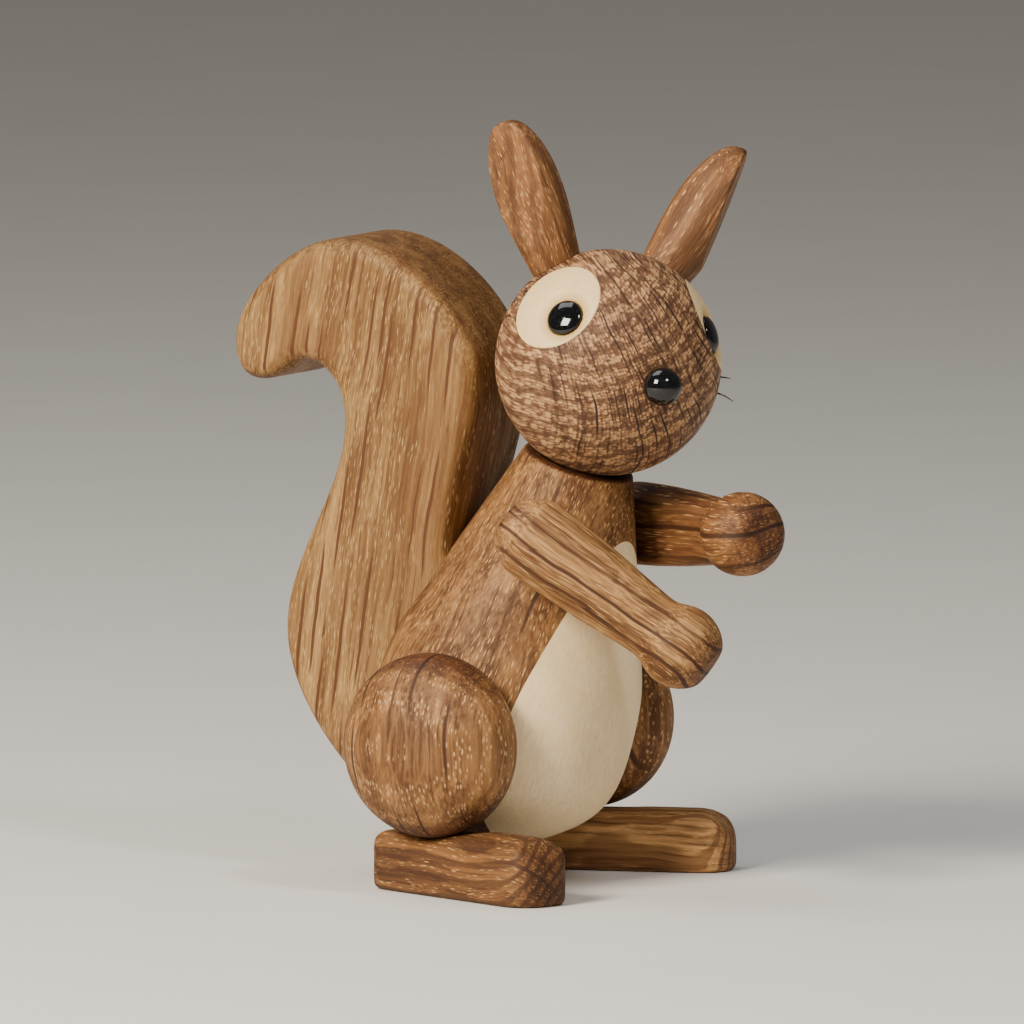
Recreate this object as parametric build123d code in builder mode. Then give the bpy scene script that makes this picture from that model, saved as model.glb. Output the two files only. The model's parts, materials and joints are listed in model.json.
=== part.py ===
from build123d import *
from math import asin, atan2, cos, degrees, radians, sin, sqrt, tan
import os

os.makedirs("parts", exist_ok=True)

# A turned wooden squirrel, in millimetres. It faces -Y, its left side is +X, its soles stand on Z = 0.
# Stack of the figure: ground, foot, thigh, hip, leaning body, head ball, ears.

# Clearances
GLUE_GAP = 0.05  # glue line on each side of a fixed joint
PIN_CLEARANCE = 0.05  # radial play of a moving piece on its dowel
BALL_CLEARANCE = 0.25  # head ball above its dish
ARM_CLEARANCE = 0.3  # flat side of an arm off the flank
DOWEL_END_GAP = 0.5  # air left at the end of a blind hole
OVERRUN = 6.0  # how far a cut runs past what it cuts
QUARTER_SHARE = sqrt(0.5)  # of both half axes, halfway round a dome

# Feet
FOOT_HEEL_REACH = 11.2  # ankle to heel
FOOT_TOE_REACH = 28.0  # ankle to toe
FOOT_WIDTH = 11.8
FOOT_HEEL_HEIGHT = 9.5
FOOT_HUMP_HEIGHT = {"right": 10.6, "left": 9.7}  # shaped by hand
FOOT_HEEL_SHARES = ((0.85, 0.0), (1.0, 0.42), (0.64, 1.0))  # of heel reach and heel height
FOOT_TOE_SHARES = ((0.5, 1.0), (0.88, 0.93), (0.985, 0.62), (1.0, 0.0))  # of toe reach and hump height
FOOT_CORNER = 5.0  # upright corners
FOOT_EDGE = 4.8  # long top edges
FOOT_SPLAY = 19.0
ANKLE_OUT = 2.5  # middle of the ankle outside the hip seat

# Thighs, turned like flat buns
THIGH_RADIUS = 14.55
THIGH_SEAT_RADIUS = 9.8  # flat inner end
THIGH_GIRTH = 7.0  # hip seat out to the widest girth
THIGH_DOME = 10.5  # widest girth out to the crown
THIGH_SWELL_SHARES = (0.885, 0.36)  # of radius and girth, on the inner swell
THIGH_COVE = 0.4  # how deep a thigh is let into its foot
THIGH_AHEAD = 2.0  # thigh centre ahead of the body's axis
THIGH_RAISE = 0.6  # and above its middle
HIP_SEAT_DEPTH = 3.9  # round seat sunk into the body's widest girth

# Body, turned about an axis that leans forward through the hips
BODY_LEAN = 18.6
BODY_BACK = 2.5  # axis behind the origin at the height of the hips
BODY_LENGTH = 62.4
BODY_RADIUS = 20.7
BODY_BELOW_HIP = 15.9
NECK_RADIUS = 8.8
NECK_EDGE = 0.9
NECK_SEAT_DEPTH = 1.4
FLANK_RADIUS = 19.1  # end of the straight flank
FLANK_DROP = 31.0  # from the neck down
RUMP_SHARES = ((1.0, 0.672), (0.90, 0.862), (0.645, 0.945))  # of body radius and body length
BELLY_OFFSET = 9.8  # glue plane ahead of the hip
BELLY_TILT = 3.1

# Head
HEAD_RADIUS = 17.8
HEAD_LEAN = 14.7  # neck dowel forward of upright
HEAD_TURN = -35.9  # to its own right
EYE_DISC_RADIUS = 7.6
EYE_DISC_DEPTH = 4.0
EYE_DISC_AZIMUTH = 71.7
EYE_DISC_RISE_ANGLE = 34.2
EYE_BEAD_RADIUS = 2.95
EYE_BEAD_DEPTH = 2.4
EYE_BEAD_SINK = 0.35  # rim of the bead below the disc
EYE_BEAD_RISE = 0.75  # crown of the bead above the disc
EYE_BEAD_AHEAD_ANGLE = 12.2  # forward of the disc's middle
EYE_BEAD_DROP_ANGLE = 4.5  # and below it
NOSE_RADIUS = 3.05
NOSE_STAND_OUT = 2.1  # ball centre outside the head
NOSE_AZIMUTH = 2.0
NOSE_RISE_ANGLE = 6.8
NOSE_PEG_RADIUS = 1.3
NOSE_PEG_DEPTH = 7.0

# Ears
EAR_LENGTH = 24.0
EAR_RADIUS = 5.4
EAR_BASE_RADIUS = 3.9
EAR_WIDEST = 13.0  # height of the widest girth
EAR_TIP_SHARES = (0.66, 0.90)  # of radius and length, where the tip rounds over
EAR_COPE = 2.0  # part of the blank that the head hollows away
EAR_EDGE = 0.6
EAR_TIP_THICKNESS = 0.4  # flat side ahead of the axis at the tip
EAR_FLAT_TILT = 12.0
EAR_TENON_RADIUS = 2.2
EAR_TENON_DEPTH = 6.5
EAR_BASE_AZIMUTH = 128.8
EAR_BASE_RISE_ANGLE = 47.7
EAR_AXIS_AZIMUTH = 113.6
EAR_AXIS_RISE_ANGLE = 57.6
EAR_FLAT_AZIMUTH = 60.5
EAR_FLAT_RISE_ANGLE = -2.0

# Bristles on the left cheek
WHISKER_RADIUS = 0.18
WHISKER_LENGTH = 2.6
WHISKER_DEPTH = 0.7
WHISKER_PLACE_ANGLES = ((5.3, 3.7), (7.7, 11.7))  # ahead of the eye disc's middle, below its rim
WHISKER_DROOP_ANGLE = 14.0

# Arms
ARM_LENGTH = 39.8
ARM_PIVOT = 6.4  # shoulder end to pin
ARM_RADIUS = 6.6
ARM_DOME = 3.6  # rounded shoulder end
ARM_WRIST = 26.6  # shoulder end to the slimmest place
ARM_WRIST_RADIUS = 5.4
ARM_FLAT = 4.2  # flat inner side from the arm's axis
FIST_RADIUS = 6.7
FIST_FLAT = 5.7  # fist centre to its flat end
FIST_NECK_ANGLE = 122.0  # where the wrist runs into the fist
SHOULDER_DROP = 11.5  # below the neck, along the body
SHOULDER_AZIMUTH = 70.0
ARM_DROOP_ANGLE = {"right": 35.4, "left": -1.9}  # below level

# Tail
TAIL_THICKNESS = 20.0
TAIL_REACH = 43.7  # hip to tip, backwards
TAIL_RISE = 78.0  # hip to crest, upwards
TAIL_EDGE = 3.0  # rounded long edges
TAIL_SHARES = (
    (0.28, -0.172), (0.60, -0.03), (0.78, 0.20), (0.66, 0.415), (0.536, 0.622), (0.574, 0.705),
    (0.688, 0.745), (0.84, 0.706), (0.95, 0.711), (0.995, 0.765), (0.90, 0.892), (0.557, 0.997),
    (0.185, 0.918), (-0.005, 0.75), (0.014, 0.603), (0.107, 0.385), (0.0, 0.15),
    (-0.10, -0.02), (0.05, -0.155),
)  # of reach and rise: up the back, round the tip, over the crest, down inside the body

# Dowels
NECK_DOWEL_RADIUS = 3.0
NECK_DOWEL_IN_BODY = 9.0
NECK_DOWEL_IN_HEAD = 13.0
ARM_PIN_RADIUS = 2.0
ARM_PIN_IN_BODY = 8.5
ARM_PIN_IN_ARM = 6.5
HIP_DOWEL_RADIUS = 2.5
HIP_DOWEL_IN_BODY = 7.0
HIP_DOWEL_IN_THIGH = 6.0
ANKLE_DOWEL_RADIUS = 1.6
ANKLE_DOWEL_OUT = 4.5  # outside the hip seat
ANKLE_DOWEL_IN_FOOT = 5.0
ANKLE_DOWEL_IN_THIGH = 7.0
TAIL_DOWEL_RADIUS = 2.0
TAIL_DOWEL_IN_BODY = 8.0
TAIL_DOWEL_IN_TAIL = 7.0
TAIL_DOWEL_DROPS = (29.0, 44.0)  # below the neck, along the body
DOWEL_CHAMFER = 0.4

SIDES = {"right": -1, "left": 1}

# Frames of the figure
up = Vector(0, 0, 1)
hip_height = FOOT_HEEL_HEIGHT - THIGH_COVE + THIGH_RADIUS
body_height = hip_height - THIGH_RAISE
hip_seat = BODY_RADIUS - HIP_SEAT_DEPTH
thigh_back = BODY_BACK - THIGH_AHEAD
neck_rise = BODY_LENGTH - BODY_BELOW_HIP
flank_angle = atan2(FLANK_RADIUS - NECK_RADIUS, FLANK_DROP)
lean = radians(BODY_LEAN)
body_frame = Plane(origin=(0, BODY_BACK, body_height), x_dir=(1, 0, 0), z_dir=(0, -sin(lean), cos(lean)))
neck_frame = body_frame.offset(neck_rise)
side_view = Plane(origin=body_frame.origin, x_dir=(0, 1, 0), z_dir=(1, 0, 0))


def turned(frame, angle):
    """Frame turned about its own Z"""
    turn = radians(angle)
    across = frame.x_dir * cos(turn) + frame.y_dir * sin(turn)
    return Plane(origin=frame.origin, x_dir=across, z_dir=frame.z_dir)


head_rise = HEAD_RADIUS - NECK_SEAT_DEPTH + BALL_CLEARANCE
nod = radians(HEAD_LEAN)
swivel_frame = Plane(
    origin=neck_frame.offset(head_rise).origin, x_dir=body_frame.x_dir, z_dir=(0, -sin(nod), cos(nod))
)
dowel_face = swivel_frame.offset(-head_rise)
head_frame = turned(swivel_frame, HEAD_TURN)


def towards(frame, azimuth, elevation):
    """Direction in a frame, turned from its front to its left and then raised"""
    around = radians(azimuth)
    raised = radians(elevation)
    level = frame.x_dir * sin(around) - frame.y_dir * cos(around)
    return level * cos(raised) + frame.z_dir * sin(raised)


def on_head(azimuth, elevation):
    """Plane that touches the head ball, facing outwards"""
    outward = towards(head_frame, azimuth, elevation)
    return Plane(origin=head_frame.origin + outward * HEAD_RADIUS, z_dir=outward)


def lathe(frame):
    """Drawing plane for a turned piece: radius across, the frame's Z along"""
    return Plane(origin=frame.origin, x_dir=frame.x_dir, z_dir=frame.y_dir * -1)


def spin(frame):
    """Turn the drawn profile about the frame's Z"""
    revolve(axis=Axis(frame.origin, frame.z_dir))


def dome(radius, base, rise):
    """Quarter of an oval, from the rim in to the crown"""
    middle = (radius * QUARTER_SHARE, base + rise * QUARTER_SHARE)
    Spline((radius, base), middle, (0, base + rise), tangents=((0, 1), (-1, 0)))


def drill(face, radius, depth):
    """Round blind hole that goes in from a face"""
    with BuildSketch(face.offset(-depth)) as mouth:
        Circle(radius)
    extrude(mouth.sketch, amount=depth + OVERRUN, mode=Mode.SUBTRACT)


def turn_dowel(face, radius, inward, outward):
    """Dowel with bevelled ends that crosses a face"""
    with BuildSketch(face.offset(-inward)) as section:
        Circle(radius)
    rod = extrude(section.sketch, amount=inward + outward)
    chamfer(rod.edges().filter_by(GeomType.CIRCLE), DOWEL_CHAMFER)


def turn_body(growth=0, mode=Mode.ADD):
    """Pear-shaped turning that torso and belly are parts of, grown all round"""
    flank_end = (FLANK_RADIUS + growth, neck_rise - FLANK_DROP)
    rump = [(BODY_RADIUS * r + growth, neck_rise - BODY_LENGTH * z) for r, z in RUMP_SHARES]
    pole = (0, -BODY_BELOW_HIP - growth)
    with BuildSketch(lathe(body_frame)) as profile:
        with BuildLine():
            flank = Line((NECK_RADIUS + growth, neck_rise), flank_end)
            Spline(flank_end, *rump, pole, tangents=(flank % 1, (-1, 0)))
            Line(pole, (0, neck_rise))
            Line((0, neck_rise), flank @ 0)
        make_face()
    revolve(profile.sketch, axis=Axis(body_frame.origin, body_frame.z_dir), mode=mode)


def hip_face(side):
    """Flat seat of a thigh, facing outwards"""
    return Plane(origin=(side * hip_seat, thigh_back, hip_height), x_dir=(0, 0, 1), z_dir=(side, 0, 0))


def shoulder_face(side):
    """Plane that touches the flank at the shoulder, X level and forward"""
    radial = towards(body_frame, side * SHOULDER_AZIMUTH, 0)
    outward = radial * cos(flank_angle) + body_frame.z_dir * sin(flank_angle)
    girth = NECK_RADIUS + SHOULDER_DROP * tan(flank_angle)
    place = neck_frame.origin - body_frame.z_dir * SHOULDER_DROP + radial * girth
    return Plane(origin=place, x_dir=outward.cross(up) * side, z_dir=outward)


def back_face(drop):
    """Plane across a tail dowel where it leaves the back"""
    girth = NECK_RADIUS + drop * tan(flank_angle) if drop < FLANK_DROP else BODY_RADIUS
    place = neck_frame.origin - body_frame.z_dir * drop + body_frame.y_dir * girth
    return Plane(origin=place, x_dir=body_frame.x_dir, z_dir=body_frame.y_dir)


def ear_frame(side):
    """Foot of an ear on the head ball, Z along the ear and X towards its flat side"""
    outward = towards(head_frame, side * EAR_BASE_AZIMUTH, EAR_BASE_RISE_ANGLE)
    along = towards(head_frame, side * EAR_AXIS_AZIMUTH, EAR_AXIS_RISE_ANGLE)
    flat = towards(head_frame, side * EAR_FLAT_AZIMUTH, EAR_FLAT_RISE_ANGLE)
    return Plane(origin=head_frame.origin + outward * HEAD_RADIUS, x_dir=flat, z_dir=along)


def bristle_face(ahead, below):
    """Plane across a bristle where it leaves the cheek, from the middle and the lower rim of the eye disc"""
    azimuth = EYE_DISC_AZIMUTH - ahead
    elevation = EYE_DISC_RISE_ANGLE - degrees(asin(EYE_DISC_RADIUS / HEAD_RADIUS)) - below
    skin = on_head(azimuth, elevation)
    return Plane(origin=skin.origin, z_dir=towards(head_frame, azimuth, elevation - WHISKER_DROOP_ANGLE))


def turn_thigh(hip, growth=0, mode=Mode.ADD):
    """Flat bun on a hip seat, grown all round"""
    radius_share, girth_share = THIGH_SWELL_SHARES
    seat_rim = (THIGH_SEAT_RADIUS + growth, 0)
    swell = (THIGH_RADIUS * radius_share + growth, THIGH_GIRTH * girth_share)
    girth = (THIGH_RADIUS + growth, THIGH_GIRTH)
    with BuildSketch(lathe(hip)) as profile:
        with BuildLine():
            Line((0, 0), seat_rim)
            Spline(seat_rim, swell, girth, tangents=((1, 1), (0, 1)))
            dome(THIGH_RADIUS + growth, THIGH_GIRTH, THIGH_DOME + growth)
            Line((0, THIGH_GIRTH + THIGH_DOME + growth), (0, 0))
        make_face()
    revolve(profile.sketch, axis=Axis(hip.origin, hip.z_dir), mode=mode)


def foot_frame(side):
    """Ground below the middle of an ankle, X towards the toe"""
    splay = radians(FOOT_SPLAY)
    place = (side * (hip_seat + ANKLE_OUT), BODY_BACK, 0)
    return Plane(origin=place, x_dir=(side * sin(splay), -cos(splay), 0), z_dir=(0, 0, 1))


def ankle_face(side):
    """Level plane across an ankle dowel, at the bottom of the thigh"""
    place = (side * (hip_seat + ANKLE_DOWEL_OUT), thigh_back, hip_height - THIGH_RADIUS)
    return Plane(origin=place, z_dir=up)


def save(piece, name):
    """Label a finished piece and write it under its own name"""
    piece.part.label = name
    export_step(piece.part, f"parts/{name}.step")


# Belly: the pale slice of the turning ahead of the glue plane
tilt = radians(BELLY_TILT)
belly_face = Plane(
    origin=body_frame.origin - body_frame.y_dir * BELLY_OFFSET,
    x_dir=body_frame.x_dir,
    z_dir=body_frame.y_dir * -cos(tilt) - body_frame.z_dir * sin(tilt),
)
with BuildPart() as belly:
    turn_body()
    split(bisect_by=belly_face, keep=Keep.TOP)
    for side in SIDES.values():
        turn_thigh(hip_face(side), GLUE_GAP, Mode.SUBTRACT)
save(belly, "belly")

# Torso: the rest of the turning, dished for the head and seated for the thighs
with BuildPart() as torso:
    turn_body()
    split(bisect_by=belly_face, keep=Keep.BOTTOM)
    rim = torso.edges().filter_by(GeomType.CIRCLE).group_by(Axis(body_frame.origin, body_frame.z_dir))[-1]
    fillet(rim, NECK_EDGE)
    with Locations(head_frame.origin):
        Sphere(HEAD_RADIUS + BALL_CLEARANCE, mode=Mode.SUBTRACT)
    drill(dowel_face, NECK_DOWEL_RADIUS + GLUE_GAP, NECK_DOWEL_IN_BODY + DOWEL_END_GAP)
    for side in SIDES.values():
        turn_thigh(hip_face(side), GLUE_GAP, Mode.SUBTRACT)
        drill(hip_face(side), HIP_DOWEL_RADIUS + GLUE_GAP, HIP_DOWEL_IN_BODY + DOWEL_END_GAP)
        drill(shoulder_face(side), ARM_PIN_RADIUS + GLUE_GAP, ARM_PIN_IN_BODY + DOWEL_END_GAP)
    for drop in TAIL_DOWEL_DROPS:
        drill(back_face(drop), TAIL_DOWEL_RADIUS + GLUE_GAP, TAIL_DOWEL_IN_BODY + DOWEL_END_GAP)
save(torso, "torso")

# Neck dowel, glued into the body, the head turns on it
with BuildPart() as neck_dowel:
    turn_dowel(dowel_face, NECK_DOWEL_RADIUS, NECK_DOWEL_IN_BODY, NECK_DOWEL_IN_HEAD)
save(neck_dowel, "neck_dowel")

# Head ball with its bores
with BuildPart() as head:
    with Locations(head_frame.origin):
        Sphere(HEAD_RADIUS)
    with BuildSketch(dowel_face.offset(-OVERRUN)):
        Circle(NECK_DOWEL_RADIUS + PIN_CLEARANCE)
    extrude(amount=OVERRUN + NECK_DOWEL_IN_HEAD + DOWEL_END_GAP, mode=Mode.SUBTRACT)
    for side in SIDES.values():
        eye_face = on_head(side * EYE_DISC_AZIMUTH, EYE_DISC_RISE_ANGLE)
        drill(eye_face, EYE_DISC_RADIUS + GLUE_GAP, EYE_DISC_DEPTH + GLUE_GAP)
        drill(ear_frame(side), EAR_TENON_RADIUS + GLUE_GAP, EAR_TENON_DEPTH + DOWEL_END_GAP)
    nose_face = on_head(NOSE_AZIMUTH, NOSE_RISE_ANGLE)
    drill(nose_face, NOSE_PEG_RADIUS + GLUE_GAP, NOSE_PEG_DEPTH + DOWEL_END_GAP)
    with Locations(nose_face.offset(NOSE_STAND_OUT).origin):
        Sphere(NOSE_RADIUS + GLUE_GAP, mode=Mode.SUBTRACT)
    for place in WHISKER_PLACE_ANGLES:
        drill(bristle_face(*place), WHISKER_RADIUS + GLUE_GAP, WHISKER_DEPTH + GLUE_GAP)
save(head, "head")

# Nose ball on its peg
with BuildPart() as nose_bead:
    with Locations(nose_face.offset(NOSE_STAND_OUT).origin):
        Sphere(NOSE_RADIUS)
    with BuildSketch(nose_face.offset(-NOSE_PEG_DEPTH)):
        Circle(NOSE_PEG_RADIUS)
    extrude(amount=NOSE_PEG_DEPTH + NOSE_STAND_OUT)
save(nose_bead, "nose_bead")

# Bristles
with BuildPart() as whiskers:
    for place in WHISKER_PLACE_ANGLES:
        with BuildSketch(bristle_face(*place).offset(-WHISKER_DEPTH)):
            Circle(WHISKER_RADIUS)
        extrude(amount=WHISKER_DEPTH + WHISKER_LENGTH)
save(whiskers, "left_whiskers")

# Eyes: a pale plug sanded flush with the ball, and a low black bead let into it
for name, side in SIDES.items():
    eye_face = on_head(side * EYE_DISC_AZIMUTH, EYE_DISC_RISE_ANGLE)
    bead_azimuth = EYE_DISC_AZIMUTH - EYE_BEAD_AHEAD_ANGLE
    bead_face = on_head(side * bead_azimuth, EYE_DISC_RISE_ANGLE - EYE_BEAD_DROP_ANGLE)
    with BuildPart() as eye_disc:
        with BuildSketch(eye_face.offset(-EYE_DISC_DEPTH)):
            Circle(EYE_DISC_RADIUS)
        extrude(amount=EYE_DISC_DEPTH + OVERRUN)
        with Locations(head_frame.origin):
            Sphere(HEAD_RADIUS, mode=Mode.INTERSECT)
        drill(bead_face, EYE_BEAD_RADIUS + GLUE_GAP, EYE_BEAD_DEPTH + GLUE_GAP)
    save(eye_disc, f"{name}_eye_disc")
    with BuildPart() as eye_bead:
        with BuildSketch(lathe(bead_face)):
            with BuildLine():
                Line((0, -EYE_BEAD_DEPTH), (EYE_BEAD_RADIUS, -EYE_BEAD_DEPTH))
                Line((EYE_BEAD_RADIUS, -EYE_BEAD_DEPTH), (EYE_BEAD_RADIUS, -EYE_BEAD_SINK))
                dome(EYE_BEAD_RADIUS, -EYE_BEAD_SINK, EYE_BEAD_SINK + EYE_BEAD_RISE)
                Line((0, EYE_BEAD_RISE), (0, -EYE_BEAD_DEPTH))
            make_face()
        spin(bead_face)
    save(eye_bead, f"{name}_eye_bead")

# Ears: a turned leaf with one side sawn flat, hollowed to sit on the ball, with a tenon
for name, side in SIDES.items():
    frame = ear_frame(side)
    flat_tilt = radians(EAR_FLAT_TILT)
    tip_radius_share, tip_length_share = EAR_TIP_SHARES
    flat_face = Plane(
        origin=frame.from_local_coords((EAR_TIP_THICKNESS, 0, EAR_LENGTH)),
        z_dir=frame.x_dir * cos(flat_tilt) + frame.z_dir * sin(flat_tilt),
    )
    with BuildPart() as ear:
        with BuildSketch(lathe(frame)):
            with BuildLine():
                Spline(
                    (EAR_BASE_RADIUS, -EAR_COPE),
                    (EAR_RADIUS, EAR_WIDEST),
                    (EAR_RADIUS * tip_radius_share, EAR_LENGTH * tip_length_share),
                    (0, EAR_LENGTH),
                    tangents=((EAR_RADIUS - EAR_BASE_RADIUS, EAR_WIDEST), (-1, 0)),
                )
                Line((0, EAR_LENGTH), (0, -EAR_COPE))
                Line((0, -EAR_COPE), (EAR_BASE_RADIUS, -EAR_COPE))
            make_face()
        spin(frame)
        split(bisect_by=flat_face, keep=Keep.BOTTOM)
        fillet(ear.faces().filter_by(flat_face).edges(), EAR_EDGE)
        with Locations(head_frame.origin):
            Sphere(HEAD_RADIUS + GLUE_GAP, mode=Mode.SUBTRACT)
        with BuildSketch(frame.offset(-EAR_TENON_DEPTH)):
            Circle(EAR_TENON_RADIUS)
        extrude(amount=EAR_TENON_DEPTH + EAR_COPE)
    save(ear, f"{name}_ear")

# Arms: a turned bar with a flat inner side and a ball fist, and the pin each one swings on
for name, side in SIDES.items():
    shoulder = shoulder_face(side)
    swing = turned(shoulder, side * ARM_DROOP_ANGLE[name])
    arm_end = swing.from_local_coords((-ARM_PIVOT, 0, ARM_CLEARANCE + ARM_FLAT))
    arm_frame = Plane(origin=arm_end, x_dir=swing.y_dir, z_dir=swing.x_dir)
    fist_place = ARM_LENGTH - FIST_FLAT
    neck_turn = radians(FIST_NECK_ANGLE)
    wrist_end = (FIST_RADIUS * sin(neck_turn), fist_place + FIST_RADIUS * cos(neck_turn))
    with BuildPart() as arm:
        with BuildSketch(lathe(arm_frame)):
            with BuildLine():
                dome(ARM_RADIUS, ARM_DOME, -ARM_DOME)
                Spline(
                    (ARM_RADIUS, ARM_DOME),
                    (ARM_WRIST_RADIUS, ARM_WRIST),
                    wrist_end,
                    tangents=((0, 1), (-cos(neck_turn), sin(neck_turn))),
                )
                Line(wrist_end, (0, fist_place))
                Line((0, fist_place), (0, 0))
            make_face()
        spin(arm_frame)
        split(bisect_by=swing.offset(ARM_CLEARANCE), keep=Keep.TOP)
        with Locations(arm_frame.offset(fist_place).origin):
            Sphere(FIST_RADIUS)
        split(bisect_by=arm_frame.offset(ARM_LENGTH), keep=Keep.BOTTOM)
        with BuildSketch(swing):
            Circle(ARM_PIN_RADIUS + PIN_CLEARANCE)
        extrude(amount=ARM_CLEARANCE + ARM_PIN_IN_ARM + DOWEL_END_GAP, mode=Mode.SUBTRACT)
    save(arm, f"{name}_arm")
    with BuildPart() as arm_pin:
        turn_dowel(shoulder, ARM_PIN_RADIUS, ARM_PIN_IN_BODY, ARM_CLEARANCE + ARM_PIN_IN_ARM)
    save(arm_pin, f"{name}_arm_pin")

# Legs: thighs on hip dowels, feet on ankle dowels
for name, side in SIDES.items():
    hip = hip_face(side)
    ground = foot_frame(side)
    ankle = ankle_face(side)
    with BuildPart() as thigh:
        turn_thigh(hip)
        with BuildSketch(hip):
            Circle(HIP_DOWEL_RADIUS + GLUE_GAP)
        extrude(amount=HIP_DOWEL_IN_THIGH + DOWEL_END_GAP, mode=Mode.SUBTRACT)
        with BuildSketch(ankle.offset(-OVERRUN)):
            Circle(ANKLE_DOWEL_RADIUS + GLUE_GAP)
        extrude(amount=OVERRUN + ANKLE_DOWEL_IN_THIGH + DOWEL_END_GAP, mode=Mode.SUBTRACT)
    save(thigh, f"{name}_thigh")
    with BuildPart() as hip_dowel:
        turn_dowel(hip, HIP_DOWEL_RADIUS, HIP_DOWEL_IN_BODY, HIP_DOWEL_IN_THIGH)
    save(hip_dowel, f"{name}_thigh_dowel")
    upright = Plane(origin=ground.origin, x_dir=ground.x_dir, z_dir=ground.x_dir.cross(up))
    heel = [(-FOOT_HEEL_REACH * x, FOOT_HEEL_HEIGHT * z) for x, z in FOOT_HEEL_SHARES]
    hump = FOOT_HUMP_HEIGHT[name]
    toe = [(FOOT_TOE_REACH * x, hump * z) for x, z in FOOT_TOE_SHARES]
    with BuildPart() as foot:
        with BuildSketch(upright):
            with BuildLine():
                ThreePointArc(*heel)
                Line(heel[-1], (0, FOOT_HEEL_HEIGHT))
                Spline((0, FOOT_HEEL_HEIGHT), *toe, tangents=((1, 0), (0, -1)))
                Line(toe[-1], heel[0])
            make_face()
        extrude(amount=FOOT_WIDTH / 2, both=True)
        with BuildSketch(ground):
            with Locations(((FOOT_TOE_REACH - FOOT_HEEL_REACH) / 2, 0)):
                RectangleRounded(FOOT_TOE_REACH + FOOT_HEEL_REACH, FOOT_WIDTH, FOOT_CORNER)
        extrude(amount=hump + OVERRUN, mode=Mode.INTERSECT)
        with BuildSketch(Plane(origin=ground.origin, x_dir=upright.z_dir, z_dir=ground.x_dir)):
            RectangleRounded(FOOT_WIDTH, max(hump, FOOT_HEEL_HEIGHT) * 2, FOOT_EDGE)
        extrude(amount=FOOT_TOE_REACH + OVERRUN, both=True, mode=Mode.INTERSECT)
        turn_thigh(hip, GLUE_GAP, Mode.SUBTRACT)
        turn_body(GLUE_GAP, Mode.SUBTRACT)
        drill(ankle, ANKLE_DOWEL_RADIUS + GLUE_GAP, ANKLE_DOWEL_IN_FOOT + DOWEL_END_GAP)
    save(foot, f"{name}_foot")
    with BuildPart() as foot_dowel:
        turn_dowel(ankle, ANKLE_DOWEL_RADIUS, ANKLE_DOWEL_IN_FOOT, ANKLE_DOWEL_IN_THIGH)
    save(foot_dowel, f"{name}_foot_dowel")

# Tail: a sawn S-shaped plank with rounded edges, hollowed to the back
with BuildPart() as tail:
    outline = [(TAIL_REACH * x, TAIL_RISE * z) for x, z in TAIL_SHARES]
    with BuildSketch(side_view.offset(-TAIL_THICKNESS / 2)):
        with BuildLine():
            Spline(*outline, periodic=True)
        make_face()
    extrude(amount=TAIL_THICKNESS)
    fillet(tail.faces().filter_by(Axis.X).edges(), TAIL_EDGE)
    turn_body(GLUE_GAP, Mode.SUBTRACT)
    for drop in TAIL_DOWEL_DROPS:
        with BuildSketch(back_face(drop).offset(-OVERRUN)):
            Circle(TAIL_DOWEL_RADIUS + GLUE_GAP)
        extrude(amount=OVERRUN + TAIL_DOWEL_IN_TAIL + DOWEL_END_GAP, mode=Mode.SUBTRACT)
save(tail, "tail")

# Dowels between back and tail
with BuildPart() as tail_dowels:
    for drop in TAIL_DOWEL_DROPS:
        turn_dowel(back_face(drop), TAIL_DOWEL_RADIUS, TAIL_DOWEL_IN_BODY, TAIL_DOWEL_IN_TAIL)
save(tail_dowels, "tail_dowels")
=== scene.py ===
import json
from math import cos, radians, sin

import bmesh
import bpy
from mathutils import Matrix, Vector


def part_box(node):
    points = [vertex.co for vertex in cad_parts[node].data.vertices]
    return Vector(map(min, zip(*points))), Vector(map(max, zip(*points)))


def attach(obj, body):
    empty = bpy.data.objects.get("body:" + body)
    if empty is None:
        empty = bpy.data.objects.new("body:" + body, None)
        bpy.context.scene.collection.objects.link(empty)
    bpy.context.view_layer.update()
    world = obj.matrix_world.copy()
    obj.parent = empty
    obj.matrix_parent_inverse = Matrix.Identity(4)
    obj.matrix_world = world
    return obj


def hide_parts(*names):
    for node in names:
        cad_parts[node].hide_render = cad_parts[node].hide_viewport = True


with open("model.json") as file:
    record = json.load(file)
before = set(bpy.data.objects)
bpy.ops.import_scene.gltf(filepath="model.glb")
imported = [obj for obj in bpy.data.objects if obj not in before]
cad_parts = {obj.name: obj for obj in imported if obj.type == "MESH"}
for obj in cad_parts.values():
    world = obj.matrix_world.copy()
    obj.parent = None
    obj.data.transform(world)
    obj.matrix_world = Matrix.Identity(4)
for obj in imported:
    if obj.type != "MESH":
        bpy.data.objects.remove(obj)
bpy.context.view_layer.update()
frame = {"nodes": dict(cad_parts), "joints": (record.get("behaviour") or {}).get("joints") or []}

# Sizes are in millimetres and angles in degrees, as on the drawing. They are turned where Blender takes them.
MM = 0.001
UP = Vector((0, 0, 1))
LEFT = Vector((1, 0, 0))
SIDES = {"right": -1, "left": 1}

# Attitude of the figure, which sets how the grain runs in each piece
BODY_LEAN = 18.6
HEAD_LEAN = 14.7
HEAD_TURN = -35.9
HEAD_CENTRE = Vector((0, -17.64, 82.90))
HEAD_RADIUS = 17.8
EAR_AZIMUTH = 113.6
EAR_ELEVATION = 57.6
FOOT_SPLAY = 19.0
ARM_DROOP = {"right": 35.4, "left": -1.9}

# Place in the log: the tail's fibre, and the way from head and feet to the pith
TAIL_FIBRE = Vector((0, -0.16, 1))
HEAD_HEART_UP = 0.85
HEAD_HEART_LEFT = -0.5
FOOT_HEART = {"right": Vector((0.7, 0, -0.7)), "left": Vector((1, 0, -0.25))}

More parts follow.
